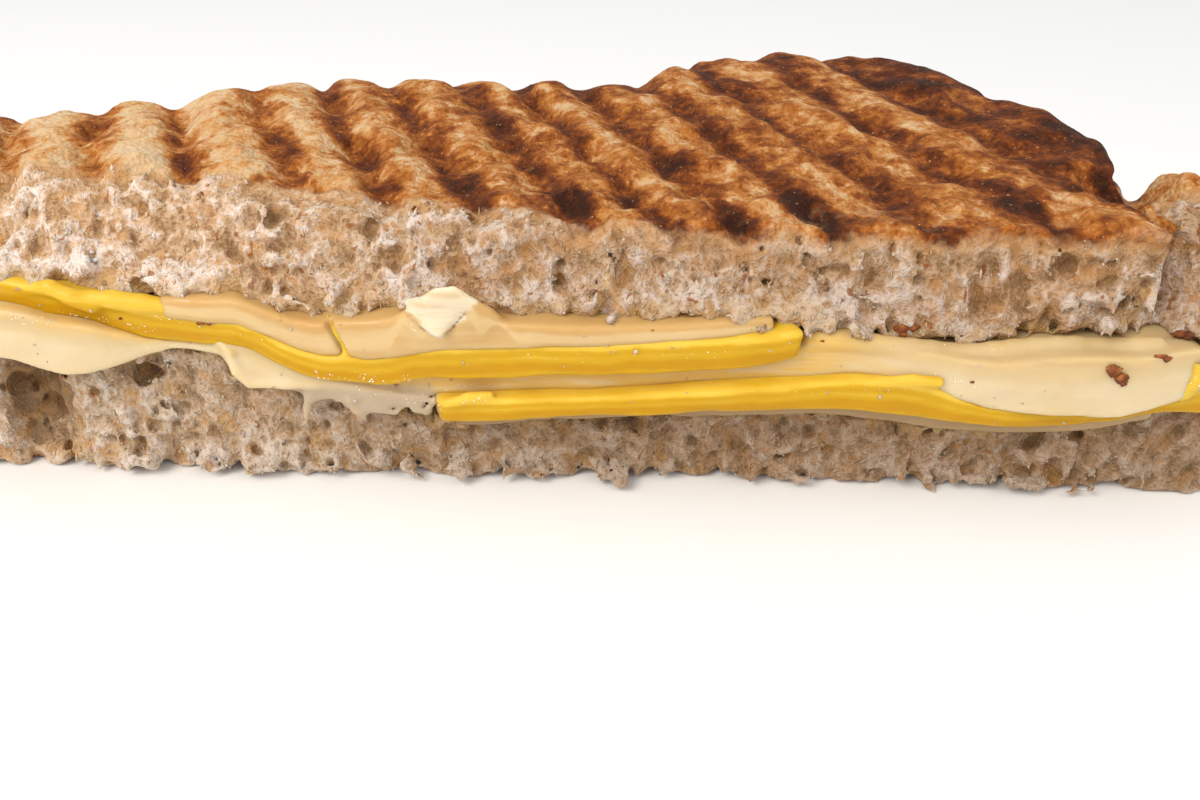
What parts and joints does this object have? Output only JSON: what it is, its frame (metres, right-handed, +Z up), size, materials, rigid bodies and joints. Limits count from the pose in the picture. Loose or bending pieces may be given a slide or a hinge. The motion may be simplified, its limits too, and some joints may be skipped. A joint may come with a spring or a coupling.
{
  "type": "grilled cheese sandwich half",
  "caption": "Half of a grilled cheese sandwich, pressed between ridged plates and cut across, with melted white and yellow cheese slices showing between slices of toasted brown bread.",
  "frame": {"origin": "under the middle of the sandwich half, on the surface that it lies on", "axes": "+X along the knife cut towards the thick right-hand crust, +Y from the cut back to the crust, +Z up"},
  "size_m": [0.1628, 0.0772, 0.0334],
  "materials": {
    "toasted_bread": "matt rough crumb with browned ridges and crust",
    "white_cheese": "soft sheen, melted and slightly translucent",
    "cream_cheese": "soft sheen, melted and slightly translucent",
    "yellow_cheese": "soft sheen, melted and slightly translucent"
  },
  "bodies": {
    "root": {"bread_bottom": "toasted_bread", "white_cheese_lower": "white_cheese", "yellow_cheese_right": "yellow_cheese", "white_cheese_middle": "white_cheese", "yellow_cheese_left": "yellow_cheese", "white_cheese_upper": "cream_cheese", "bread_top": "toasted_bread"}
  },
  "joints": []
}
